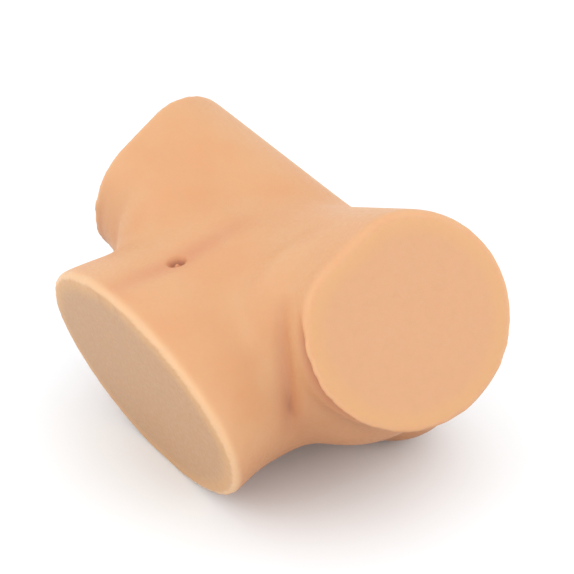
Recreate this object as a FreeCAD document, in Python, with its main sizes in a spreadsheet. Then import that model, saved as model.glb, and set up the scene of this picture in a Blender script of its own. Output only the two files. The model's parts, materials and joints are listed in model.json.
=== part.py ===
"""Lower-torso mannequin form lying on its back: a soft one-piece skin moulded around foam cores and a steel frame.

Row frame: +Z up, +Y from the waist towards the seat, +X towards the form's right thigh.
The origin is on the surface that the form lies on, under the middle of its box. Lengths are in millimetres.
"""
import FreeCAD, Part
import math
import os
import Sketcher
from FreeCAD import Placement, Rotation, Vector

# The trunk's sections, from the waist to the seat: place along Y, half width, half depth, height of the middle.
TRUNK_SECTIONS = [
    ("collar", -125.5, 110.0, 68.0, 59.0),
    ("waist", -94.5, 106.5, 69.0, 65.0),
    ("navel", -57.5, 96.0, 68.5, 72.5),
    ("loin", -15.5, 100.0, 72.0, 82.0),
    ("pelvis", 30.5, 104.0, 73.0, 80.0),
    ("saddle", 70.0, 88.0, 62.0, 78.0),
    ("seat", 92.0, 48.0, 38.0, 72.0),
]

DRIVING_SIZES = [
    ("waist_cut_y", -94.5, "middle of the waist cut, along Y"),
    ("waist_cut_height", 65.0, "middle of the waist cut, above the floor"),
    ("waist_lean", 15.5, "lean of the waist cut, belly edge outwards, in degrees"),
    ("thigh_cut_x", 139.0, "middle of a thigh cut, out from the middle plane"),
    ("thigh_cut_y", 4.5, "middle of a thigh cut, along Y"),
    ("thigh_cut_height", 138.0, "middle of a thigh cut, above the floor"),
    ("thigh_turn", 16.2, "turn of a thigh cut towards the waist, in degrees"),
    ("thigh_rise", 18.9, "tilt of a thigh cut upwards, in degrees"),
    ("thigh_radius", 61.5, "radius of a thigh stub at its cut"),
    ("thigh_root_radius", 56.0, "radius of a thigh stub at the middle plane"),
    ("cheek_x", 45.0, "middle of a buttock, out from the middle plane"),
    ("cheek_y", 63.5, "middle of a buttock, along Y"),
    ("cheek_height", 54.0, "middle of a buttock, above the floor"),
    ("cheek_half_width", 62.0, "half width of a buttock"),
    ("cheek_half_length", 49.3, "half length of a buttock"),
    ("cheek_half_depth", 56.5, "half depth of a buttock"),
    ("hip_x", 77.0, "middle of a hip, out from the middle plane"),
    ("hip_y", 18.5, "middle of a hip, along Y"),
    ("hip_height", 88.5, "middle of a hip, above the floor"),
    ("hip_half_width", 57.0, "half width of a hip"),
    ("hip_half_length", 69.5, "half length of a hip"),
    ("hip_half_depth", 58.5, "half depth of a hip"),
    ("groin_x", 74.0, "middle of a groin's filling, out from the middle plane"),
    ("groin_y", -7.0, "middle of a groin's filling, along Y"),
    ("groin_height", 118.0, "middle of a groin's filling, above the floor"),
    ("groin_half_width", 44.0, "half width of a groin's filling"),
    ("groin_half_length", 52.0, "half length of a groin's filling"),
    ("groin_half_depth", 50.0, "half depth of a groin's filling"),
    ("rim_round", 5.0, "rounding of the thigh cuts' rims"),
    ("navel_pit_y", -65.5, "navel's pit, along Y"),
    ("navel_pit_height", 142.0, "middle of the navel's pit, above the floor"),
    ("navel_pit_radius", 4.0, "radius of the navel's pit"),
    ("skin_wall", 14.0, "thickness of the skin over the cores"),
    ("end_wall", 16.0, "thickness of the skin over the cores at the three cuts"),
    ("core_gap", 34.0, "distance of a thigh core from the middle plane"),
    ("rod_radius", 4.0, "radius of the frame's rods"),
    ("rod_seat", 9.0, "length of rod inside the hub"),
    ("disc_radius", 24.0, "radius of the disc on a rod's end"),
    ("disc_thickness", 3.0, "thickness of the disc on a rod's end"),
    ("disc_cover", 6.0, "depth of a disc's face inside its core"),
    ("hub_radius", 20.0, "radius of the hub"),
    ("hub_length", 36.0, "height of the hub"),
]

SIDES = {"right": 1, "left": -1}
CUTTER_SIZE = 600.0
OUTSIDE, CORE = 0, 1

doc = FreeCAD.newDocument("torso_form")
sheet = doc.addObject("Spreadsheet::Sheet", "Sizes")


def fill_sheet():
    """Writes each driving size to the sheet, one row each, with its alias and its meaning."""
    rows = list(DRIVING_SIZES)
    for name, place, half_width, half_depth, height in TRUNK_SECTIONS:
        rows.append((name + "_section_y", place, name + " section, along Y"))
        rows.append((name + "_half_width", half_width, name + " section, half width"))
        rows.append((name + "_half_depth", half_depth, name + " section, half depth"))
        rows.append((name + "_section_height", height, name + " section, height of its middle"))
    for index, (alias, value, meaning) in enumerate(rows, start=1):
        sheet.set("A%d" % index, meaning)
        sheet.set("B%d" % index, str(value))
        sheet.setAlias("B%d" % index, alias)
    doc.recompute()


def size(alias):
    """The sheet's value for an alias."""
    return float(sheet.get(alias))


def bind(feature, **formulas):
    """Binds a feature's properties to formulas over the sheet's cells."""
    for name, formula in formulas.items():
        feature.setExpression(name, formula)
    return feature


def inset(layer):
    """The end of a formula that takes the skin's wall off an outside size, to give the cores' surface."""
    return " - Sizes.skin_wall" if layer == CORE else ""


def waist_normal():
    """The way that the waist cut faces: out of the body and a little down."""
    lean = math.radians(size("waist_lean"))
    return Vector(0, -math.cos(lean), -math.sin(lean))


def thigh_normal(side):
    """The way that a thigh cut faces. side is 1 for the right thigh and -1 for the left one."""
    turn = math.radians(size("thigh_turn"))
    rise = math.radians(size("thigh_rise"))
    level = math.cos(rise)
    return Vector(side * math.cos(turn) * level, -math.sin(turn) * level, math.sin(rise))


def thigh_centre(side):
    """The middle of a thigh cut."""
    return Vector(side * size("thigh_cut_x"), size("thigh_cut_y"), size("thigh_cut_height"))


def thigh_reach():
    """The distance from the hub to a thigh cut."""
    return size("thigh_cut_x") / thigh_normal(1).x


def hub_centre():
    """Where the two thighs' axes meet, in the middle plane."""
    return thigh_centre(1) - thigh_normal(1) * thigh_reach()


def waist_reach():
    """The distance from the hub to the waist cut, along the spine rod."""
    middle = Vector(0, size("waist_cut_y"), size("waist_cut_height"))
    return (middle - hub_centre()).dot(waist_normal())


def arms():
    """The frame's three arms: name, the way each points, and the distance from the hub to its cut."""
    return [("spine", waist_normal(), waist_reach()),
            ("right_thigh", thigh_normal(SIDES["right"]), thigh_reach()),
            ("left_thigh", thigh_normal(SIDES["left"]), thigh_reach())]


def along(direction, distance):
    """A placement on an arm, with its Z axis along the arm's direction, that far from the hub."""
    return Placement(hub_centre() + direction * distance, Rotation(Vector(0, 0, 1), direction))


def feature(kind, name, **properties):
    """Adds a feature to the document and sets its properties."""
    added = doc.addObject(kind, name)
    for key, value in properties.items():
        setattr(added, key, value)
    return added


def fuse(name, pieces):
    """One feature that joins the pieces."""
    return feature("Part::MultiFuse", name, Shapes=pieces)


def cut(name, base, tool):
    """One feature that takes the tool out of the base."""
    return feature("Part::Cut", name, Base=base, Tool=tool)


def half_space(name, placement):
    """A large block that stands on the placement's XY plane and is centred on it."""
    block = feature("Part::Box", name, Length=CUTTER_SIZE, Width=CUTTER_SIZE, Height=CUTTER_SIZE)
    corner = Vector(-CUTTER_SIZE / 2, -CUTTER_SIZE / 2, 0)
    block.Placement = placement.multiply(Placement(corner, Rotation()))
    return block


def trunk_loft(layer, name):
    """The trunk, as one smooth loft through its sections."""
    rings = []
    last = TRUNK_SECTIONS[-1][0]
    for section, *_ in TRUNK_SECTIONS:
        ring = feature("Part::Ellipse", name + "_" + section)
        bind(ring, MajorRadius="Sizes.%s_half_width%s" % (section, inset(layer)),
             MinorRadius="Sizes.%s_half_depth%s" % (section, inset(layer)))
        closing_wall = size("skin_wall") if layer == CORE and section == last else 0.0
        place = size(section + "_section_y") - closing_wall
        middle = Vector(0, place, size(section + "_section_height"))
        ring.Placement = Placement(middle, Rotation(Vector(1, 0, 0), 90))
        rings.append(ring)
    return feature("Part::Loft", name, Sections=rings, Solid=True)


def swelling(part, side, layer, name):
    """One hip, groin or buttock, an ellipsoid. part is "hip", "groin" or "cheek"."""
    bump = feature("Part::Ellipsoid", name, Angle1=-90, Angle2=90)
    bind(bump, Radius1="Sizes.%s_half_depth%s" % (part, inset(layer)),
         Radius2="Sizes.%s_half_width%s" % (part, inset(layer)),
         Radius3="Sizes.%s_half_length%s" % (part, inset(layer)))
    bump.Placement.Base = Vector(side * size(part + "_x"), size(part + "_y"), size(part + "_height"))
    return bump


def trunk(layer, name):
    """The trunk with its hips, groins and buttocks, cut off at the waist and flattened where it rests."""
    setback, rest = (size("end_wall"), size("skin_wall")) if layer == CORE else (0.0, 0.0)
    pieces = [trunk_loft(layer, name + "_loft")]
    for part in ("cheek", "hip", "groin"):
        pieces += [swelling(part, side, layer, "_".join((name, word, part))) for word, side in SIDES.items()]
    joined = fuse(name + "_joined", pieces)
    beyond = half_space(name + "_beyond_waist", along(waist_normal(), waist_reach() - setback))
    below = half_space(name + "_below_rest", Placement(Vector(0, 0, rest), Rotation(Vector(1, 0, 0), 180)))
    return cut(name, cut(name + "_shortened", joined, beyond), below)


def thigh(side, layer, name):
    """One thigh stub, from its cut to the middle plane. The outside one has a rounded rim."""
    direction = thigh_normal(side)
    setback = size("end_wall") if layer == CORE else 0.0
    stub = feature("Part::Cone", name + "_stub", Height=thigh_reach() - setback)
    bind(stub, Radius1="Sizes.thigh_radius" + inset(layer), Radius2="Sizes.thigh_root_radius" + inset(layer))
    stub.Placement = Placement(thigh_centre(side) - direction * setback, Rotation(Vector(0, 0, 1), -direction))
    if layer == CORE:
        return stub
    doc.recompute()
    distances = [(edge.CenterOfMass - thigh_centre(side)).Length for edge in stub.Shape.Edges]
    rim = distances.index(min(distances)) + 1
    return feature("Part::Fillet", name, Base=stub, Edges=[(rim, size("rim_round"), size("rim_round"))])


def thigh_core(side, word, trunk_core):
    """The foam inside one thigh stub, seated against the trunk's core."""
    stub = thigh(side, CORE, word + "_thigh_foam")
    seated = cut(word + "_thigh_seated", stub, trunk_core)
    across = Placement(Vector(side * size("core_gap"), 0, 0), Rotation(Vector(0, 0, 1), Vector(-side, 0, 0)))
    return cut(word + "_thigh_trimmed", seated, half_space(word + "_thigh_middle", across))


def rod(arm, direction, reach):
    """The rod of one arm, from its seat in the hub out to the disc that is welded on its end."""
    start = size("hub_radius") - size("rod_seat")
    end = reach - size("end_wall") - size("disc_cover")
    shaft = feature("Part::Cylinder", arm + "_shaft")
    bind(shaft, Radius="Sizes.rod_radius")
    shaft.Height = end - start
    shaft.Placement = along(direction, start)
    disc = padded_body(arm + "_disc", "Sizes.disc_radius", "Sizes.disc_thickness")
    disc.Placement = along(direction, end - size("disc_thickness"))
    return fuse(arm + "_welded", [shaft, disc])


def padded_body(name, radius, length):
    """A PartDesign body: a pad of the given length over a circle about the sketch's origin."""
    body = feature("PartDesign::Body", name)
    plane = next(item for item in body.Origin.OriginFeatures if item.Role == "XY_Plane")
    sketch = body.newObject("Sketcher::SketchObject", name + "_outline")
    sketch.AttachmentSupport = [(plane, "")]
    sketch.MapMode = "FlatFace"
    circle = sketch.addGeometry(Part.Circle(Vector(), Vector(0, 0, 1), 1.0), False)
    sketch.addConstraint(Sketcher.Constraint("Coincident", circle, 3, -1, 1))
    rim = sketch.addConstraint(Sketcher.Constraint("Radius", circle, 1.0))
    sketch.setExpression("Constraints[%d]" % rim, radius)
    pad = body.newObject("PartDesign::Pad", name + "_pad")
    pad.Profile = sketch
    bind(pad, Length=length)
    return body


def hub(rods):
    """The block in the middle, drilled for the three rods that screw into it."""
    block = padded_body("hub_block", "Sizes.hub_radius", "Sizes.hub_length")
    block.Placement.Base = hub_centre() - Vector(0, 0, size("hub_length") / 2)
    return cut("hub_drilled", block, fuse("hub_seats", rods))


def navel_pit():
    """The small pit of the navel."""
    pit = feature("Part::Sphere", "navel_pit")
    bind(pit, Radius="Sizes.navel_pit_radius")
    pit.Placement.Base = Vector(0, size("navel_pit_y"), size("navel_pit_height"))
    return pit


def build():
    """Builds every piece and returns them by node name."""
    pieces = {arm + "_rod": rod(arm, direction, reach) for arm, direction, reach in arms()}
    rods = list(pieces.values())
    pieces["hub"] = hub(rods)

    trunk_core = trunk(CORE, "trunk_core")
    foam = [trunk_core]
    frame = fuse("frame", rods + [pieces["hub"]])
    for word, side in SIDES.items():
        foam.append(thigh_core(side, word, trunk_core))
        pieces[word + "_thigh_core"] = cut(word + "_thigh_bored", foam[-1], frame)
    bored = cut("trunk_core_bored", trunk_core, frame)
    lean = math.radians(size("waist_lean"))
    split = Placement(hub_centre(), Rotation(Vector(0, 0, 1), Vector(0, -math.sin(lean), math.cos(lean))))
    front = half_space("front_half", split)
    pieces["trunk_core_front"] = feature("Part::Common", "trunk_front", Base=bored, Tool=front)
    pieces["trunk_core_back"] = cut("trunk_back", bored, front)

    thighs = [thigh(side, OUTSIDE, word + "_thigh") for word, side in SIDES.items()]
    outside = fuse("outside", [trunk(OUTSIDE, "trunk")] + thighs)
    filling = fuse("filling", foam)
    pieces["skin"] = cut("skin_hollow", cut("skin_solid", outside, navel_pit()), filling)
    return pieces


def check(pieces):
    """Stops if any object failed to compute or any piece isn't a valid closed solid."""
    failed = [item.Name for item in doc.Objects if "Invalid" in item.State or "Error" in item.State]
    if failed:
        raise RuntimeError("these objects failed: " + ", ".join(failed))
    for node, piece in pieces.items():
        shape = piece.Shape
        if shape.isNull() or not shape.isValid() or not shape.Solids:
            raise RuntimeError(node + " has no valid solid")


def export(pieces):
    """Labels each piece with its node's name and writes its shape."""
    os.makedirs("parts", exist_ok=True)
    for node, piece in sorted(pieces.items()):
        piece.Label = node
        piece.Shape.exportStep("parts/%s.step" % node)
        print("%-18s solids %d  volume %7.1f cm3" % (node, len(piece.Shape.Solids), piece.Shape.Volume / 1000))


fill_sheet()
torso = build()
doc.recompute()
check(torso)
export(torso)
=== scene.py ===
"""The looks of the lower-torso mannequin form: a soft one-piece skin over foam cores and a steel frame.

The skin is sculpted from simple masses that are blended, cut off flat at the waist and at both thighs, and folded
where a soft casting folds. The pieces inside keep their own shapes and only get their finishes.
Sizes are in millimetres in the classes below, and everything is built in metres in the part's own frame:
+Z up, +Y from the waist towards the seat, +X towards the form's right thigh.
"""
import json
import logging
import math
from dataclasses import dataclass
from enum import Enum

import bmesh
import bpy
import numpy as np
from mathutils import Matrix, Vector
from mathutils.kdtree import KDTree


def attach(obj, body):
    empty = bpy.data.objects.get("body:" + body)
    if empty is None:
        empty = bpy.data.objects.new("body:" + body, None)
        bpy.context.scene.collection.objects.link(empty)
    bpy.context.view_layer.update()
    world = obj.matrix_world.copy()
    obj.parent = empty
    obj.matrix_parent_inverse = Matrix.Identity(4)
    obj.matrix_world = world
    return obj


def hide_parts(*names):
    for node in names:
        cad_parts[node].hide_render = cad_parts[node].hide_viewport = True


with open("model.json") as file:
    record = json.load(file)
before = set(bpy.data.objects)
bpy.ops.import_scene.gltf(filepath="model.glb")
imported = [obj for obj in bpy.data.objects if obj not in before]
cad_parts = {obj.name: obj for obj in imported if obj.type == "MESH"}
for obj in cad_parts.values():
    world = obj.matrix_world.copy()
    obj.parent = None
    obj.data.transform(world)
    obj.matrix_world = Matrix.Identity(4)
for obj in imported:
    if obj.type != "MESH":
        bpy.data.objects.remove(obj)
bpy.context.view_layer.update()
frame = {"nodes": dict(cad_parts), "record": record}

MM = 0.001
FAINTEST = 0.02  # the weakest share of a groove that still counts
FALL = 4.0  # how fast a fold or a groove fades across its width
FADE_IN = 0.8  # how gently a fold starts and ends: 1 is half a sine wave, and less is blunter
SHADE_POWER = 3  # how closely the dark in a fold keeps to its deepest line
ROOT = "root"
Colour = tuple[float, float, float]
log = logging.getLogger("torso_form")


class Side(Enum):
    """A side of the form, with its sign along X."""

    RIGHT = 1
    LEFT = -1


class Mark(Enum):
    """The painted marks that the skin's finish reads, each a value from 0 to 1 at every point."""

    # Painted shade: the skin darker and warmer where it faces down.
    UNDERSIDE_SHADE = "underside_shade"
    # A blush tint in the furrow, folds, groove and navel, partly painted shade.
    FLUSH = "flush"
    WAIST_FACE = "waist_face"
    THIGH_FACE = "thigh_face"
    # Painted light on a cut face just inside its rim.
    GLOW = "glow"
    # Painted highlight along the rounded rims of the cuts.
    RIM_HIGHLIGHT = "rim_highlight"
    # Painted shade deep in the navel, the creases and the groove.
    PAINTED_SHADE = "painted_shade"


def to_metres(millimetres: tuple[float, float, float]) -> Vector:
    """A point given in millimetres, in metres."""
    return Vector(millimetres) * MM


def smooth_step(low: float, high: float, value: np.ndarray) -> np.ndarray:
    """A soft step.

    Args:
        low: Where the step leaves 0.
        high: Where the step reaches 1.
        value: The values to step.

    Returns:
        0 below low, 1 above high, and an even S-curve between them.
    """
    share = np.clip((value - low) / (high - low), 0.0, 1.0)
    return share * share * (3.0 - 2.0 * share)


def to_object(form: bmesh.types.BMesh, name: str) -> bpy.types.Object:
    """Turns a bmesh into an object of the scene.

    Args:
        form: The bmesh, which is freed.
        name: The object's name.

    Returns:
        The new object, at the origin.
    """
    mesh = bpy.data.meshes.new(name)
    form.to_mesh(mesh)
    form.free()
    made = bpy.data.objects.new(name, mesh)
    bpy.context.scene.collection.objects.link(made)
    return made


def apply_modifiers(piece: bpy.types.Object) -> None:
    """Replaces a piece's mesh with what its modifiers make of it."""
    evaluated = piece.evaluated_get(bpy.context.evaluated_depsgraph_get())
    finished = bpy.data.meshes.new_from_object(evaluated)
    piece.modifiers.clear()
    previous = piece.data
    piece.data = finished
    bpy.data.meshes.remove(previous)


def remesh(piece: bpy.types.Object, grain: float) -> None:
    """Gives a piece an even skin of small squares.

    Args:
        piece: The piece, whose overlapping masses become one surface.
        grain: The squares' size, in millimetres.
    """
    modifier = piece.modifiers.new("even_skin", "REMESH")
    modifier.mode = "VOXEL"
    modifier.voxel_size = grain * MM
    modifier.adaptivity = 0.0
    apply_modifiers(piece)


def relax(piece: bpy.types.Object, passes: int, among: np.ndarray | None = None) -> None:
    """Evens out a piece's surface.

    Args:
        piece: The piece to smooth.
        passes: How many times each point moves half way to the middle of its neighbours.
        among: Whether each point may move, or None where they all may.
    """
    form = bmesh.new()
    form.from_mesh(piece.data)
    free = form.verts if among is None else [vert for vert, moves in zip(form.verts, among) if moves]
    for _ in range(passes):
        bmesh.ops.smooth_vert(form, verts=free, factor=0.5, use_axis_x=True, use_axis_y=True, use_axis_z=True)
    form.to_mesh(piece.data)
    form.free()


@dataclass(frozen=True)
class Section:
    """One section of the trunk, square to Y: half an ellipse below, and a fuller or leaner half oval above.

    Attributes:
        place: The section's place along Y.
        half_width: Half of its width along X.
        half_depth: Half of its depth along Z.
        height: The height of its middle.
        fullness: The shape above the middle: 2 for half an ellipse, and more for squarer shoulders.
    """

    place: float
    half_width: float
    half_depth: float
    height: float
    fullness: float = 2.0

    def add(self, form: bmesh.types.BMesh, swell: float, capped: bool) -> list[bmesh.types.BMEdge]:
        """Adds the section's ring to a bmesh.

        Args:
            form: The bmesh that is being built.
        swell: How much larger than the section the ring is made, in millimetres.
            capped: Whether the ring is closed with a face.

        Returns:
            The ring's edges.
        """
        ring = bmesh.ops.create_circle(form, cap_ends=capped, segments=64, radius=1.0)["verts"]
        for vert in ring:
            power = self.fullness if vert.co.y > 0.0 else 2.0
            away = (abs(vert.co.x) ** power + abs(vert.co.y) ** power) ** (1.0 / power)
            across, up = vert.co.x / away, vert.co.y / away
            vert.co = to_metres((across * (self.half_width + swell), self.place,
                                 self.height + up * (self.half_depth + swell)))
        return list({edge for vert in ring for edge in vert.link_edges})


@dataclass(frozen=True)
class Swelling:
    """A soft rounded mass, one on each side of the form.

    Attributes:
        middle: Its middle on the right side.
        reach: Its half sizes along X, Y and Z.
    """

    middle: tuple[float, float, float]
    reach: tuple[float, float, float]

    def add(self, form: bmesh.types.BMesh, side: Side) -> None:
        """Adds the mass of one side to a bmesh.

        Args:
            form: The bmesh that is being built.
            side: The side it belongs to.
        """
        middle = Vector((self.middle[0] * side.value, self.middle[1], self.middle[2])) * MM
        place = Matrix.Translation(middle) @ Matrix.Diagonal((*(Vector(self.reach) * MM), 1.0))
        bmesh.ops.create_uvsphere(form, u_segments=48, v_segments=32, radius=1.0, matrix=place)


@dataclass(frozen=True)
class FlatCut:
    """A flat face where the form is cut off.

    Attributes:
        middle: The middle of the face.
        outward: The way that the face looks, of length 1.
    """

    middle: Vector
    outward: Vector

    def take_off(self, form: bmesh.types.BMesh) -> None:
        """Cuts off what stands out past the face and closes the form there."""
        everything = form.verts[:] + form.edges[:] + form.faces[:]
        bmesh.ops.bisect_plane(form, geom=everything, dist=1e-6, plane_co=self.middle, plane_no=self.outward,
                               clear_outer=True)
        open_edges = [edge for edge in form.edges if edge.is_boundary]
        bmesh.ops.holes_fill(form, edges=open_edges, sides=0)

    def depth(self, points: np.ndarray) -> np.ndarray:
        """How far inside the face each point lies, in millimetres."""
        return (points - np.array(self.middle)) @ -np.array(self.outward) / MM

    def side_ways(self) -> tuple[Vector, Vector]:
        """The level way along the face and the way up it."""
        across = Vector((0.0, 0.0, 1.0)).cross(self.outward).normalized()
        return across, self.outward.cross(across)

    def direction(self, points: np.ndarray) -> np.ndarray:
        """The direction of each point round the face's middle, in degrees from the level way along it."""
        across, up = self.side_ways()
        offset = points - np.array(self.middle)
        return np.degrees(np.arctan2(offset @ np.array(up), offset @ np.array(across))) % 360.0

    def from_axis(self, points: np.ndarray) -> np.ndarray:
        """The way to each point, straight out from the line through the face's middle along its normal, in metres."""
        offset = points - np.array(self.middle)
        return offset - np.outer(offset @ np.array(self.outward), np.array(self.outward))

    def off_axis(self, points: np.ndarray) -> np.ndarray:
        """How far each point lies from the line through the face's middle along its normal, in millimetres."""
        return np.linalg.norm(self.from_axis(points), axis=1) / MM


@dataclass(frozen=True)
class Fold:
    """A soft valley that runs along a line in the skin.

    Attributes:
        route: The points that the line passes through, on the right side or in the middle.
        depth: How deep the valley is at its middle.
        width: The distance from the line at which it has all but gone.
        both_sides: Whether the left side has one too.
        left_share: How strong the left side's one is, as a share of the right one's.
        flush: How reddish and darker the skin is along it, from 0 to 1: the casting's blush tint, and painted shade
            in the valley.
        shade: How dark the painted shade is where the valley is deepest, from 0 to 1.
    """

    route: tuple[tuple[float, float, float], ...]
    depth: float
    width: float
    both_sides: bool = True
    left_share: float = 1.0
    flush: float = 0.0
    shade: float = 0.0

    def weight(self, points: np.ndarray) -> np.ndarray:
        """How strongly the fold acts on each point.

        Args:
            points: The skin's points, in metres.

        Returns:
            1 on the line, falling to 0 at its width and towards its two ends.
        """
        measured = np.abs(points) * (1, 0, 0) + points * (0, 1, 1) if self.both_sides else points
        line = np.array(self.route) * MM
        spans = np.linalg.norm(np.diff(line, axis=0), axis=1)
        starts = np.concatenate(([0.0], np.cumsum(spans)))
        nearest = np.full(len(points), np.inf)
        along = np.zeros(len(points))
        for start, end, span, run in zip(line[:-1], line[1:], spans, starts):
            share = np.clip((measured - start) @ (end - start) / span ** 2, 0.0, 1.0)
            away = np.linalg.norm(measured - start - share[:, None] * (end - start), axis=1)
            closer = away < nearest
            nearest = np.where(closer, away, nearest)
            along = np.where(closer, run + share * span, along)
        across = np.exp(-FALL * (nearest / (self.width * MM)) ** 2)
        strength = np.where(points[:, 0] < 0.0, self.left_share, 1.0)
        return strength * across * np.sin(np.pi * np.clip(along / starts[-1], 0.0, 1.0)) ** FADE_IN


@dataclass(frozen=True)
class Undercut:
    """A groove round part of a thigh stub, close behind its cut face, that leaves the rim standing out as a lip.

    Attributes:
        setback: How far behind the cut face the groove's middle lies.
        depth: How deep it is.
        width: The distance from its middle at which it has all but gone.
        middle: The direction round the right thigh's face of the groove's middle, in degrees.
        spread: How far round, each way, it fades out, in degrees.
        full: The share of the spread over which the groove has its full depth.
        clear: How near to the thigh's axis nothing moves.
        left_share: How strong the left thigh's one is, as a share of the right one's.
        flush: How reddish and darker the skin is in it, from 0 to 1: a blush tint, and painted shade in the groove.
        shade: How dark the painted shade is where the groove is deepest, from 0 to 1.
    """

    setback: float = 8.5
    depth: float = 7.0
    width: float = 7.0
    middle: float = 216.0
    spread: float = 54.0
    full: float = 0.45
    clear: float = 30.0
    left_share: float = 0.15
    flush: float = 1.0
    shade: float = 0.6

    def weight(self, points: np.ndarray, face: "FlatCut") -> np.ndarray:
        """How strongly the groove acts on each point.

        Args:
            points: The skin's points, in metres.
            face: The right thigh's cut face; the left one's groove mirrors it.

        Returns:
            1 in the middle of the groove, falling to 0 at its width and its ends.
        """
        measured = np.abs(points) * (1, 0, 0) + points * (0, 1, 1)
        turned = face.direction(measured)
        away = np.abs((turned - self.middle + 180.0) % 360.0 - 180.0)
        along = smooth_step(self.spread, self.full * self.spread, away)
        across = np.exp(-FALL * ((face.depth(measured) - self.setback) / self.width) ** 2)
        strength = np.where(points[:, 0] < 0.0, self.left_share, 1.0)
        return strength * along * across * (face.off_axis(measured) > self.clear)


@dataclass(frozen=True)
class Navel:
    """The navel: a small round pit with a nub in it.

    Attributes:
        middle: Where the pit is, in the skin's surface.
        radius: The radius of the pit.
        depth: How deep the pit is.
        dip: How deep the wide shallow dip round the pit is.
        dip_radius: The radius of the dip.
        nub_radius: The radius of the nub.
        nub_height: How high the nub stands off the bottom of the pit.
        nub_offset: How far the nub is off the pit's middle, along X and Y.
        shade: How dark the painted shade is where the pit is deepest, from 0 to 1.
        shaded: The shares of the pit's depth at which the dark begins and is full.
        finer: The distances from the pit within which the skin's squares are halved, each in turn.
        below: How far above and below the pit's middle the skin may sink.
    """

    middle: tuple[float, float, float] = (-0.6, -63.0, 140.5)
    radius: float = 5.2
    depth: float = 5.5
    dip: float = 0.7
    dip_radius: float = 13.52
    nub_radius: float = 2.6
    nub_height: float = 4.2
    nub_offset: tuple[float, float] = (0.6, -0.6)
    shade: float = 0.7
    shaded: tuple[float, float] = (0.45, 0.95)
    finer: tuple[float, float] = (20.8, 11.44)
    below: float = 15.0

    def refine(self, piece: bpy.types.Object) -> None:
        """Makes the skin's squares finer round the navel."""
        form = bmesh.new()
        form.from_mesh(piece.data)
        middle = to_metres(self.middle)
        for reach in self.finer:
            near = [edge for edge in form.edges if all((vert.co - middle).length < reach * MM for vert in edge.verts)]
            bmesh.ops.subdivide_edges(form, edges=near, cuts=1, use_grid_fill=True)
        form.to_mesh(piece.data)
        form.free()

    def sink(self, points: np.ndarray) -> np.ndarray:
        """How far each point sinks.

        Args:
            points: The skin's points, in metres.

        Returns:
            The distance for each point, in millimetres.
        """
        offset = (points - np.array(to_metres(self.middle))) / MM
        level = np.hypot(offset[:, 0], offset[:, 1])
        from_nub = np.hypot(offset[:, 0] - self.nub_offset[0], offset[:, 1] - self.nub_offset[1])
        pit = self.depth * np.exp(-(level / self.radius) ** 4)
        dip = self.dip * np.exp(-(level / self.dip_radius) ** 2)
        nub = self.nub_height * np.exp(-(from_nub / self.nub_radius) ** 2)
        return (pit - nub + dip) * (np.abs(offset[:, 2]) < self.below)


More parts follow.
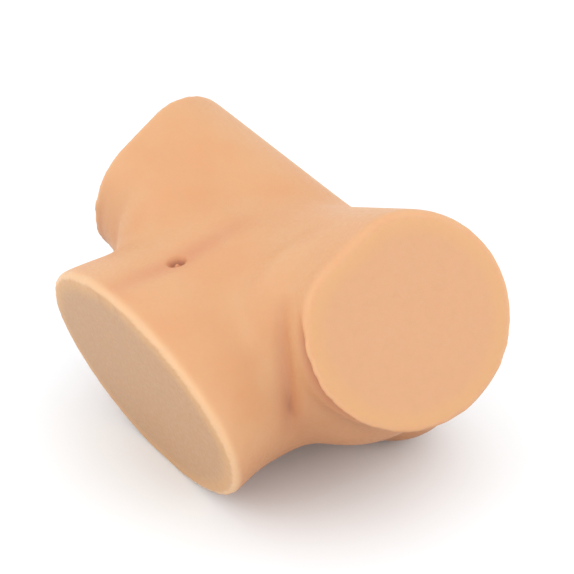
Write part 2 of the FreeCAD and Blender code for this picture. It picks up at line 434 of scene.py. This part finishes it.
@dataclass
class Skin:
    """The soft casting that everything else is buried in.

    Attributes:
        sections: The trunk's sections, from beyond the waist cut to the seat.
        hip: The mass between trunk and thigh.
        cheek: The buttock.
        groin: The mass that fills the corner between the belly and the thigh.
        roll: The soft roll of the flank under the groin.
        haunch: The mass under a thigh stub, between the hip and the stub's cut.
        thigh_middle: The middle of the right thigh's cut.
        thigh_turn: The turn of a thigh's cut towards the waist, in degrees.
        thigh_rise: The tilt of a thigh's cut upwards, in degrees.
        thigh_radius: The radius of a thigh at its cut.
        root_radius: The radius of a thigh at the middle plane.
        flat_side: The direction round a thigh's cut, in degrees, in which it is a little flattened.
        flat_share: The share of the radius at which the flattened side lies.
        swell: How much larger the masses start, because blending draws them in.
        blend_grain: The size of the squares while the masses are blended.
        blend_passes: The smoothing passes that blend them.
        fine_grain: The size of the finished skin's squares.
        rim_passes: The smoothing passes that round the rims of the cuts.
        groove_passes: The smoothing passes that even out the groove behind a thigh's rim.
        rim_highlight_band: How far in from a cut the pale painted highlight on the rim has all but gone.
        cut_reach: The largest distance of a rim from the middle of its cut.
        face_turn: How squarely a point looks along a cut's normal where the cut face begins and where it is full.
        face_depth: How far inside a cut the points of its face may lie.
        thigh_shine: How strong the painted highlight on a thigh cut's rim is, as a share of the waist's.
        painted_glow_band: How far in from its rim a cut face is warmer: painted light shining through the thin edge.
        underside_shade_top: How far upwards a point faces, from -1 to 1, where the painted shade on downward-facing
            skin begins.
        underside_shade_low: How far upwards a point faces where that painted shade is full.
        folds: The valleys and ridges in the skin.
        undercut: The groove behind a thigh's rim.
        navel: The navel.
    """

    sections: tuple[Section, ...] = (
        Section(-140.0, 114.5, 70.5, 56.0, 1.9),
        Section(-94.5, 108.5, 71.0, 65.0, 1.9),
        Section(-57.5, 95.5, 68.5, 72.5, 2.0),
        Section(-15.5, 97.0, 71.0, 82.0, 2.5),
        Section(30.5, 104.0, 73.0, 80.0, 2.4),
        Section(70.0, 88.0, 62.0, 78.0),
        Section(92.0, 48.0, 38.0, 72.0),
    )
    hip: Swelling = Swelling((77.0, 18.5, 88.5), (57.0, 69.5, 58.5))
    cheek: Swelling = Swelling((45.0, 63.5, 54.0), (62.0, 49.3, 56.5))
    groin: Swelling = Swelling((74.0, -7.0, 118.0), (44.0, 52.0, 50.0))
    roll: Swelling = Swelling((96.0, -22.0, 102.0), (24.0, 33.0, 46.0))
    haunch: Swelling = Swelling((108.0, 28.0, 104.0), (50.0, 42.0, 49.0))
    thigh_middle: tuple[float, float, float] = (139.0, 4.5, 138.0)
    thigh_turn: float = 16.2
    thigh_rise: float = 18.9
    thigh_radius: float = 62.5
    root_radius: float = 56.0
    flat_side: float = 127.0
    flat_share: float = 0.93
    spare: float = 20.0
    swell: float = 1.5
    blend_grain: float = 4.0
    blend_passes: int = 20
    fine_grain: float = 2.0
    rim_passes: int = 22
    groove_passes: int = 4
    rim_highlight_band: float = 7.0
    cut_reach: float = 130.0
    face_turn: tuple[float, float] = (0.93, 0.998)
    face_depth: float = 2.0
    thigh_shine: float = 0.22
    painted_glow_band: float = 13.0
    underside_shade_top: float = 0.25
    underside_shade_low: float = -0.75
    folds: tuple[Fold, ...] = (
        Fold(((0.0, -125.0, 128.0), (0.0, -60.0, 141.0), (0.0, 0.0, 156.0)),
             depth=1.4, width=19.0, both_sides=False, flush=0.45),
        Fold(((88.0, -47.0, 150.0), (95.0, -50.5, 128.0), (100.0, -52.5, 104.0), (102.0, -51.5, 82.0),
              (99.0, -46.0, 58.0)), depth=4.0, width=12.0, left_share=0.3, flush=0.5),
        Fold(((99.5, -53.5, 106.0), (101.5, -52.5, 90.0), (102.5, -50.5, 74.0), (101.5, -46.0, 56.0)),
             depth=1.8, width=4.5, left_share=0.3, flush=0.6, shade=0.45),
    )
    undercut: Undercut = Undercut()
    navel: Navel = Navel()

    def cuts(self) -> dict[str, FlatCut]:
        """The three cuts by name, with the waist's as the frame's mount gives it."""
        waist = next(mount for mount in frame["record"]["mounts"] if mount["name"] == "waist_face")
        made = {"waist": FlatCut(Vector(waist["pos_m"]), Vector(waist["axis"]))}
        for side in Side:
            made[side.name.lower()] = FlatCut(self.thigh_place(side), self.thigh_outward(side))
        return made

    def thigh_place(self, side: Side) -> Vector:
        """The middle of one thigh's cut, in metres."""
        across, place, height = self.thigh_middle
        return to_metres((across * side.value, place, height))

    def thigh_outward(self, side: Side) -> Vector:
        """The way that one thigh's cut looks."""
        turn, rise = math.radians(self.thigh_turn), math.radians(self.thigh_rise)
        level = math.cos(rise)
        return Vector((side.value * math.cos(turn) * level, -math.sin(turn) * level, math.sin(rise)))

    def add_trunk(self, form: bmesh.types.BMesh) -> None:
        """Adds the trunk, one ring for each section with a skin bridged between them."""
        ends = (self.sections[0], self.sections[-1])
        rings = [section.add(form, self.swell, section in ends) for section in self.sections]
        for first, second in zip(rings, rings[1:]):
            bmesh.ops.bridge_loops(form, edges=first + second)

    def add_thigh(self, form: bmesh.types.BMesh, side: Side) -> None:
        """Adds one thigh stub, a little flattened where it faces the belly.

        Args:
            form: The bmesh that is being built.
            side: The stub's side.
        """
        outward = self.thigh_outward(side)
        reach = self.thigh_middle[0] / abs(outward.x)
        length = reach + self.spare
        widening = (self.thigh_radius - self.root_radius) / reach
        middle = self.thigh_place(side) + outward * (self.spare - length / 2) * MM
        across, up = FlatCut(middle, outward).side_ways()
        turned = Matrix((across, up, outward)).transposed().to_4x4()
        stub = bmesh.ops.create_cone(form, cap_ends=True, cap_tris=False, segments=64,
                                     radius1=(self.root_radius + self.swell) * MM,
                                     radius2=(self.root_radius + self.swell + widening * length) * MM,
                                     depth=length * MM, matrix=Matrix.Translation(middle) @ turned)["verts"]
        lean = self.flat_side if side is Side.RIGHT else 180.0 - self.flat_side
        flat_way = across * math.cos(math.radians(lean)) + up * math.sin(math.radians(lean))
        limit = self.thigh_radius * self.flat_share * MM
        for vert in stub:
            beyond = (vert.co - middle).dot(flat_way) - limit
            if beyond > 0.0:
                vert.co -= flat_way * beyond

    def build(self) -> bpy.types.Object:
        """Builds the skin.

        Returns:
            The finished mesh as an object.
        """
        form = bmesh.new()
        self.add_trunk(form)
        for side in Side:
            self.hip.add(form, side)
            self.cheek.add(form, side)
            self.groin.add(form, side)
            self.roll.add(form, side)
            self.haunch.add(form, side)
            self.add_thigh(form, side)
        bmesh.ops.recalc_face_normals(form, faces=form.faces)
        skin = to_object(form, "soft_skin")
        remesh(skin, self.blend_grain)
        relax(skin, self.blend_passes)
        self.cut_flat(skin)
        remesh(skin, self.fine_grain)
        relax(skin, self.rim_passes)
        self.navel.refine(skin)
        groove = self.press_folds(skin)
        relax(skin, self.groove_passes, groove > FAINTEST)
        for face in skin.data.polygons:
            face.use_smooth = True
        return skin

    def cut_flat(self, skin: bpy.types.Object) -> None:
        """Cuts the skin off at the waist, at both thighs and where it rests."""
        form = bmesh.new()
        form.from_mesh(skin.data)
        floor = FlatCut(Vector((0.0, 0.0, 0.0)), Vector((0.0, 0.0, -1.0)))
        for cut in (*self.cuts().values(), floor):
            cut.take_off(form)
        bmesh.ops.triangulate(form, faces=[face for face in form.faces if len(face.verts) > 4])
        form.to_mesh(skin.data)
        form.free()

    def press_folds(self, skin: bpy.types.Object) -> np.ndarray:
        """Presses the folds into the skin and paints the marks that its finish reads.

        Args:
            skin: The skin.

        Returns:
            How strongly the groove behind a thigh's rim acts on each point, from 0 to 1.
        """
        mesh = skin.data
        count = len(mesh.vertices)
        points = np.empty(count * 3, np.float64)
        normals = np.empty(count * 3, np.float32)
        mesh.vertices.foreach_get("co", points)
        mesh.vertex_normals.foreach_get("vector", normals)
        points = points.reshape(-1, 3)
        normals = normals.reshape(-1, 3).astype(np.float64)
        marks = {mark: np.zeros(count) for mark in Mark}
        moved = points.copy()
        # Each fold sinks the skin and gets its blush tint and painted shade.
        for fold in self.folds:
            weight = fold.weight(points)
            moved -= normals * (weight * fold.depth * MM)[:, None]
            marks[Mark.FLUSH] = np.maximum(marks[Mark.FLUSH], weight * fold.flush)
            marks[Mark.PAINTED_SHADE] = np.maximum(marks[Mark.PAINTED_SHADE], weight ** SHADE_POWER * fold.shade)
        behind_rim = self.undercut.weight(points, self.cuts()["right"])
        moved -= self.out_of_thigh(points) * (behind_rim * self.undercut.depth * MM)[:, None]
        marks[Mark.FLUSH] = np.maximum(marks[Mark.FLUSH], behind_rim * self.undercut.flush)
        marks[Mark.PAINTED_SHADE] = np.maximum(marks[Mark.PAINTED_SHADE], behind_rim ** SHADE_POWER * self.undercut.shade)
        sunk = self.navel.sink(points)
        moved -= normals * (sunk * MM)[:, None]
        dark_from, dark_full = (share * self.navel.depth for share in self.navel.shaded)
        deep = smooth_step(dark_from, dark_full, sunk)
        marks[Mark.PAINTED_SHADE] = np.maximum(marks[Mark.PAINTED_SHADE], self.navel.shade * deep)
        marks[Mark.FLUSH] = np.maximum(marks[Mark.FLUSH], np.clip(sunk / self.navel.depth, 0.0, 1.0))
        # Painted shade, deeper and warmer the more the skin faces down.
        marks[Mark.UNDERSIDE_SHADE] = smooth_step(self.underside_shade_top, self.underside_shade_low, normals[:, 2])
        for name, cut in self.cuts().items():
            depth = cut.depth(points)
            facing = normals @ np.array(cut.outward)
            # Painted highlight along each cut's rounded rim.
            near = smooth_step(self.rim_highlight_band, 1.0, depth) * (cut.off_axis(points) < self.cut_reach)
            face = smooth_step(*self.face_turn, facing) * (depth < self.face_depth)
            shine = 1.0 if name == "waist" else self.thigh_shine
            marks[Mark.RIM_HIGHLIGHT] = np.maximum(marks[Mark.RIM_HIGHLIGHT], shine * near * (1.0 - face))
            flat = Mark.WAIST_FACE if name == "waist" else Mark.THIGH_FACE
            marks[flat] = np.maximum(marks[flat], face)
            # Painted light on the face near its rim.
            marks[Mark.GLOW] = np.maximum(marks[Mark.GLOW], self.painted_glow_near_rim(points, face))
            marks[Mark.UNDERSIDE_SHADE] *= 1.0 - face
        mesh.vertices.foreach_set("co", moved.ravel())
        mesh.update()
        for mark, values in marks.items():
            layer = mesh.attributes.new(mark.value, "FLOAT", "POINT")
            layer.data.foreach_set("value", values.astype(np.float32))
        return behind_rim

    def out_of_thigh(self, points: np.ndarray) -> np.ndarray:
        """The way straight out from the axis of its own side's thigh at each point, of length 1."""
        right, left = (self.cuts()[side.name.lower()].from_axis(points) for side in Side)
        outward = np.where(points[:, :1] < 0.0, left, right)
        return outward / np.maximum(np.linalg.norm(outward, axis=1), 1e-9)[:, None]

    def painted_glow_near_rim(self, points: np.ndarray, face: np.ndarray) -> np.ndarray:
        """How near to its rim each point of a cut face lies, which sets the painted light there.

        Args:
            points: The skin's points, in metres.
            face: 1 where a point lies on the face.

        Returns:
            1 at the rim, falling to 0 at the band's inner edge, and 0 off the face.
        """
        rim_points = np.nonzero((face > 0.2) & (face < 0.8))[0]
        tree = KDTree(len(rim_points))
        for index in rim_points:
            tree.insert(Vector(points[index]), int(index))
        tree.balance()
        glow = np.zeros(len(points))
        for index in np.nonzero(face >= 0.8)[0]:
            glow[index] = tree.find(Vector(points[index]))[2] / MM
        return np.where(face >= 0.8, smooth_step(self.painted_glow_band, 1.0, glow), 0.0)


class Finish:
    """A procedural finish on one Principled shader, built up node by node on the piece's own coordinates."""

    def __init__(self, name: str) -> None:
        """Starts a finish.

        Args:
            name: The material's name.
        """
        self.material = bpy.data.materials.new(name)
        self.material.use_nodes = True
        self.nodes = self.material.node_tree.nodes
        self.links = self.material.node_tree.links
        self.shader = self.nodes["Principled BSDF"]
        self.place = self.nodes.new("ShaderNodeTexCoord").outputs["Object"]

    def plain(self, **values: float | tuple[float, ...]) -> None:
        """Sets sockets of the shader to values that are the same all over, by the sockets' names with _ for space."""
        for socket, value in values.items():
            self.shader.inputs[socket.replace("_", " ")].default_value = value

    def noise(self, per_metre: float, detail: float = 3.0, stretch: tuple[float, float, float] = (1.0, 1.0, 1.0)
              ) -> bpy.types.NodeSocket:
        """A cloudy pattern.

        Args:
            per_metre: How many patches there are in a metre.
            detail: How many finer layers it has.
            stretch: How much closer the patches lie along X, Y and Z.

        Returns:
            The pattern's value, about 0.5.
        """
        turn = self.nodes.new("ShaderNodeMapping")
        turn.inputs["Scale"].default_value = stretch
        self.links.new(self.place, turn.inputs["Vector"])
        pattern = self.nodes.new("ShaderNodeTexNoise")
        pattern.inputs["Scale"].default_value = per_metre
        pattern.inputs["Detail"].default_value = detail
        self.links.new(turn.outputs["Vector"], pattern.inputs["Vector"])
        return pattern.outputs["Fac"]

    def pores(self, per_metre: float) -> bpy.types.NodeSocket:
        """A pattern of small round cells: each point's distance from the middle of its cell."""
        pattern = self.nodes.new("ShaderNodeTexVoronoi")
        pattern.inputs["Scale"].default_value = per_metre
        self.links.new(self.place, pattern.inputs["Vector"])
        return pattern.outputs["Distance"]

    def painted(self, mark: Mark) -> bpy.types.NodeSocket:
        """The value of one of the skin's marks."""
        attribute = self.nodes.new("ShaderNodeAttribute")
        attribute.attribute_name = mark.value
        return attribute.outputs["Fac"]

    def spread(self, value: bpy.types.NodeSocket, low: float, high: float, to_low: float, to_high: float
               ) -> bpy.types.NodeSocket:
        """Maps a pattern's range onto another.

        Args:
            value: The pattern.
            low: The pattern's value that becomes to_low.
            high: The pattern's value that becomes to_high.
            to_low: The lowest result.
            to_high: The highest result.

        Returns:
            The mapped value, kept within its range.
        """
        mapped = self.nodes.new("ShaderNodeMapRange")
        for socket, number in zip(("From Min", "From Max", "To Min", "To Max"), (low, high, to_low, to_high)):
            mapped.inputs[socket].default_value = number
        self.links.new(value, mapped.inputs["Value"])
        return mapped.outputs["Result"]

    def mix(self, share: bpy.types.NodeSocket, first: bpy.types.NodeSocket | Colour,
            second: bpy.types.NodeSocket | Colour) -> bpy.types.NodeSocket:
        """Mixes two colours.

        Args:
            share: How much of the second colour there is, from 0 to 1.
            first: A colour, or the socket that gives it.
            second: A colour, or the socket that gives it.

        Returns:
            The mixed colour.
        """
        mixed = self.nodes.new("ShaderNodeMix")
        mixed.data_type = "RGBA"
        self.links.new(share, mixed.inputs["Factor"])
        for socket, colour in (("A", first), ("B", second)):
            if isinstance(colour, bpy.types.NodeSocket):
                self.links.new(colour, mixed.inputs[socket])
            else:
                mixed.inputs[socket].default_value = (*colour, 1.0)
        return mixed.outputs["Result"]

    def wear(self, **values: bpy.types.NodeSocket) -> None:
        """Links patterns to sockets of the shader, by the sockets' names with _ for space."""
        for socket, value in values.items():
            self.links.new(value, self.shader.inputs[socket.replace("_", " ")])

    def bump(self, height: bpy.types.NodeSocket, depth: float) -> None:
        """Gives the surface a fine relief, on top of any that it has.

        Args:
            height: The pattern of the relief.
            depth: Its depth, in millimetres.
        """
        relief = self.nodes.new("ShaderNodeBump")
        relief.inputs["Strength"].default_value = 1.0
        relief.inputs["Distance"].default_value = depth * MM
        self.links.new(height, relief.inputs["Height"])
        normal = self.shader.inputs["Normal"]
        if normal.is_linked:
            self.links.new(normal.links[0].from_socket, relief.inputs["Normal"])
        self.links.new(relief.outputs["Normal"], normal)


@dataclass(frozen=True)
class Elastomer:
    """The skin's finish: soft satin elastomer in a skin tone, that light sinks into.

    Attributes:
        body: The colour of the skin.
        cloud: The colour of its slightly rosier patches.
        underside_shade: The deeper, warmer colour where the skin faces down: painted shade.
        flush: The darker, reddish colour in the furrow, the folds, the groove and the navel: partly the casting's
            blush tint, partly painted shade.
        waist_face: The colour of the waist's cut face, a darker copy of the thigh face's colour: painted shade, as
            that face looks down and away from the light.
        thigh_face: The colour of a thigh's cut face.
        speck: The colour of the faint darker mottling in the cut faces.
        glow: The warmer colour of a cut face near its rim: painted light shining through the thin edge.
        rim: The paler colour at the rims, where light shines through: a painted highlight.
        painted_shade: The dark colour deep in the navel, the creases and the groove: painted shade.
    """

    body: Colour = (0.555, 0.300, 0.148)
    cloud: Colour = (0.550, 0.278, 0.130)
    underside_shade: Colour = (0.40, 0.165, 0.070)
    flush: Colour = (0.46, 0.165, 0.083)
    waist_face: Colour = (0.415, 0.235, 0.123)
    thigh_face: Colour = (0.54, 0.285, 0.147)
    speck: Colour = (0.47, 0.26, 0.13)
    glow: Colour = (0.56, 0.31, 0.130)
    rim_highlight: Colour = (0.610, 0.385, 0.215)
    painted_shade: Colour = (0.30, 0.105, 0.052)

    def make(self) -> bpy.types.Material:
        """The finished material."""
        finish = Finish("soft_elastomer")
        finish.plain(Subsurface_Weight=0.3, Subsurface_Radius=(0.010, 0.0045, 0.0022), Subsurface_Scale=1.0,
                     Specular_IOR_Level=0.4)
        clouds, grain, cells = finish.noise(22.0, 4.0), finish.noise(420.0, 2.0), finish.pores(900.0)
        colour = finish.mix(finish.spread(clouds, 0.40, 0.62, 0.0, 0.9), self.body, self.cloud)
        # Painted shade on the skin that faces down.
        below = finish.spread(finish.painted(Mark.UNDERSIDE_SHADE), 0.0, 1.0, 0.0, 0.75)
        colour = finish.mix(below, colour, self.underside_shade)
        # Blush tint and painted shade in the furrow, folds, groove and navel.
        colour = finish.mix(finish.painted(Mark.FLUSH), colour, self.flush)
        specks = finish.spread(finish.noise(190.0, 5.0), 0.45, 0.75, 0.0, 0.2)
        # Each cut face gets its colour; the waist face's darker copy is painted shade.
        for mark, paint in ((Mark.THIGH_FACE, self.thigh_face), (Mark.WAIST_FACE, self.waist_face)):
            colour = finish.mix(finish.painted(mark), colour, finish.mix(specks, paint, self.speck))
        # Painted light just inside each cut face's rim.
        colour = finish.mix(finish.spread(finish.painted(Mark.GLOW), 0.0, 1.0, 0.0, 0.6), colour, self.glow)
        # Painted highlight at the rims.
        colour = finish.mix(finish.painted(Mark.RIM_HIGHLIGHT), colour, self.rim_highlight)
        # Painted shade deep in the navel, the creases and the groove.
        colour = finish.mix(finish.painted(Mark.PAINTED_SHADE), colour, self.painted_shade)
        finish.wear(Base_Color=colour, Roughness=finish.spread(grain, 0.3, 0.7, 0.46, 0.62))
        finish.bump(clouds, 0.5)
        finish.bump(grain, 0.05)
        finish.bump(cells, 0.03)
        return finish.material


@dataclass(frozen=True)
class Foam:
    """The cores' finish: rigid moulded foam with open cells.

    Attributes:
        body: The colour of the foam.
        shade: The colour deep in its cells.
    """

    body: Colour = (0.80, 0.74, 0.58)
    shade: Colour = (0.52, 0.45, 0.31)

    def make(self) -> bpy.types.Material:
        """The finished material."""
        finish = Finish("rigid_foam")
        cells, fine = finish.pores(260.0), finish.noise(60.0, 4.0)
        colour = finish.mix(finish.spread(cells, 0.15, 0.55, 0.0, 1.0), self.shade, self.body)
        colour = finish.mix(finish.spread(fine, 0.4, 0.7, 0.0, 0.35), colour, self.shade)
        finish.wear(Base_Color=colour, Roughness=finish.spread(cells, 0.1, 0.6, 0.98, 0.82))
        finish.bump(cells, 0.8)
        return finish.material


@dataclass(frozen=True)
class Metal:
    """A metal's finish, with fine tool marks along one axis and a few duller patches.

    Attributes:
        name: The material's name.
        body: The colour of the metal.
        dull: The colour of the duller patches.
        roughness: Its lowest and highest roughness.
        grain: How much closer the tool marks lie along X, Y and Z.
    """

    name: str
    body: Colour
    dull: Colour
    roughness: tuple[float, float]
    grain: tuple[float, float, float]

    def make(self) -> bpy.types.Material:
        """The finished material."""
        finish = Finish(self.name)
        finish.plain(Metallic=1.0)
        patches, marks = finish.noise(35.0, 3.0), finish.noise(300.0, 2.0, self.grain)
        finish.wear(Base_Color=finish.mix(finish.spread(patches, 0.4, 0.7, 0.0, 0.8), self.body, self.dull),
                    Roughness=finish.spread(marks, 0.3, 0.7, *self.roughness))
        finish.bump(marks, 0.04)
        return finish.material


@dataclass(frozen=True)
class Studio:
    """The floor, the lights and the camera.

    Attributes:
        camera_place: Where the camera stands.
        camera_aim: The point that the camera looks at.
        lens: The camera's focal length, in millimetres.
        lamp_aim: The point that the lamps look at.
        lamps: Each lamp's name, its place, the length of its sides and its power in watts.
        surroundings: The strength of the white light from all round.
        floor: The floor's colour.
        floor_roughness: The floor's roughness.
        floor_reach: Half of the floor's side, in metres.
    """

    camera_place: tuple[float, float, float] = (617.5, -415.9, 478.9)
    camera_aim: tuple[float, float, float] = (-40.0, 46.5, 74.7)
    lens: float = 81.6
    lamp_aim: tuple[float, float, float] = (0.0, 0.0, 80.0)
    lamps: tuple[tuple[str, tuple[float, float, float], float, float], ...] = (
        ("front_lamp", (0.0, -1300.0, 900.0), 900.0, 6.0),
        ("side_lamp", (1400.0, 300.0, 800.0), 900.0, 5.0),
    )
    surroundings: float = 1.3
    floor: Colour = (0.80, 0.83, 0.85)
    floor_roughness: float = 0.9
    floor_reach: float = 4.0

    def build(self) -> None:
        """Sets the studio up."""
        self.add_camera()
        self.add_floor()
        self.add_lights()

    def add_camera(self) -> None:
        """Adds the camera, level and aimed at the form."""
        data = bpy.data.cameras.new("camera")
        data.lens = self.lens
        data.clip_start = 0.01
        camera = bpy.data.objects.new("camera", data)
        place, aim = to_metres(self.camera_place), to_metres(self.camera_aim)
        camera.location = place
        camera.rotation_euler = (aim - place).to_track_quat("-Z", "Y").to_euler()
        bpy.context.scene.collection.objects.link(camera)
        bpy.context.scene.camera = camera

    def add_floor(self) -> None:
        """Adds the pale floor."""
        form = bmesh.new()
        bmesh.ops.create_grid(form, x_segments=1, y_segments=1, size=self.floor_reach)
        floor = to_object(form, "floor")
        material = bpy.data.materials.new("pale_floor")
        material.use_nodes = True
        shader = material.node_tree.nodes["Principled BSDF"]
        shader.inputs["Base Color"].default_value = (*self.floor, 1.0)
        shader.inputs["Roughness"].default_value = self.floor_roughness
        floor.data.materials.append(material)

    def add_lights(self) -> None:
        """Adds the soft lamps and the bright surroundings."""
        world = bpy.data.worlds.new("surroundings")
        world.use_nodes = True
        background = world.node_tree.nodes["Background"].inputs
        background["Color"].default_value = (1.0, 1.0, 1.0, 1.0)
        background["Strength"].default_value = self.surroundings
        bpy.context.scene.world = world
        for lamp in self.lamps:
            self.add_lamp(*lamp)

    def add_lamp(self, name: str, place: tuple[float, float, float], size: float, power: float) -> None:
        """Adds one square soft lamp.

        Args:
            name: Its name.
            place: Where it hangs.
            size: The length of its sides.
            power: Its power in watts.
        """
        data = bpy.data.lights.new(name, "AREA")
        data.shape = "SQUARE"
        data.size = size * MM
        data.energy = power
        lamp = bpy.data.objects.new(name, data)
        lamp.location = to_metres(place)
        lamp.rotation_euler = (to_metres(self.lamp_aim) - lamp.location).to_track_quat("-Z", "Y").to_euler()
        bpy.context.scene.collection.objects.link(lamp)


def main() -> None:
    """Builds the form and its studio."""
    bpy.context.scene.view_settings.view_transform = "Standard"
    Studio().build()
    skin = Skin().build()
    skin.data.materials.clear()
    skin.data.materials.append(Elastomer().make())
    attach(skin, ROOT)
    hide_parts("skin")
    log.info("skin: %d faces", len(skin.data.polygons))
    finishes = {
        "foam": Foam(),
        "rod_steel": Metal("plated_steel", (0.60, 0.61, 0.63), (0.45, 0.45, 0.46), (0.22, 0.38), (1.0, 1.0, 1.0)),
        "hub_metal": Metal("machined_aluminium", (0.74, 0.75, 0.77), (0.62, 0.62, 0.63), (0.30, 0.46),
                           (1.0, 1.0, 12.0)),
    }
    made = {slot: finish.make() for slot, finish in finishes.items()}
    slots = {part["node"]: part["material_slot"] for part in frame["record"]["subparts"]}
    for node, piece in frame["nodes"].items():
        if node != "skin":
            piece.data.materials.clear()
            piece.data.materials.append(made[slots[node]])


if __name__ == "__main__":
    logging.basicConfig(level=logging.INFO, format="%(message)s")
    main()
